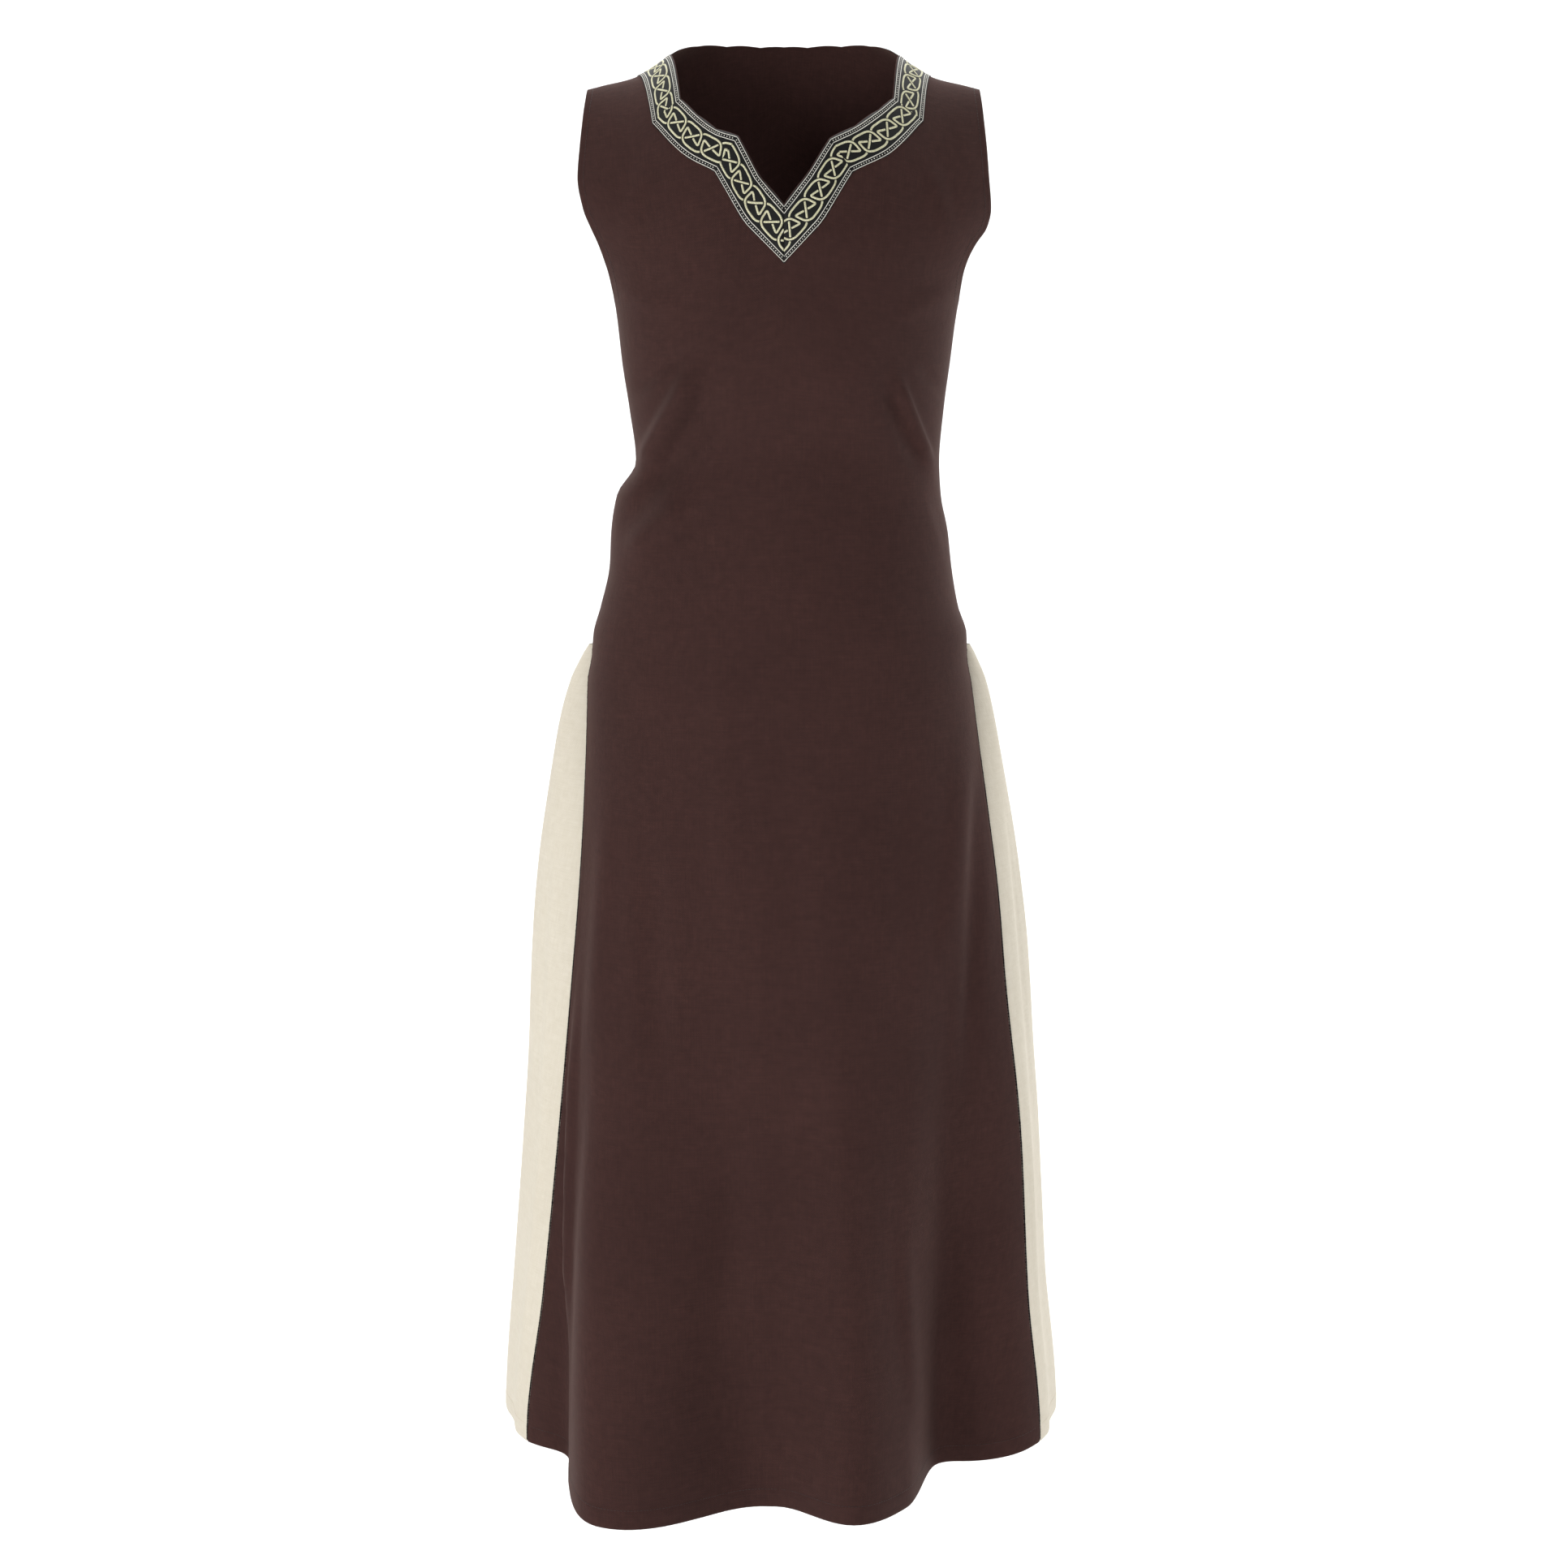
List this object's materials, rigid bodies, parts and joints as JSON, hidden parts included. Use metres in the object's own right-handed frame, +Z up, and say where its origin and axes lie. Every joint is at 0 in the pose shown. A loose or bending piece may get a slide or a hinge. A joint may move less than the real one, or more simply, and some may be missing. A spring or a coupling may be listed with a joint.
{
  "type": "medieval gown",
  "caption": "Sleeveless ankle-length over-gown with contrast side gores and a knot-patterned ribbon round a notched V neck.",
  "frame": {"origin": "midway between the two shoulder seams, where the wearer's shoulders carry the gown", "axes": "+Z up as worn, the front faces -Y, +X towards the wearer's left"},
  "size_m": [0.5712, 0.5023, 1.419],
  "materials": {
    "brown_cotton": "matt plain weave, dark brown",
    "cream_cotton": "matt plain weave, undyed cream",
    "knot_ribbon": "woven ribbon, cream knot on black"
  },
  "bodies": {
    "root": {"front_panel": "brown_cotton", "back_panel": "brown_cotton", "gore_left": "cream_cotton", "gore_right": "cream_cotton", "neck_ribbon": "knot_ribbon"}
  },
  "joints": []
}
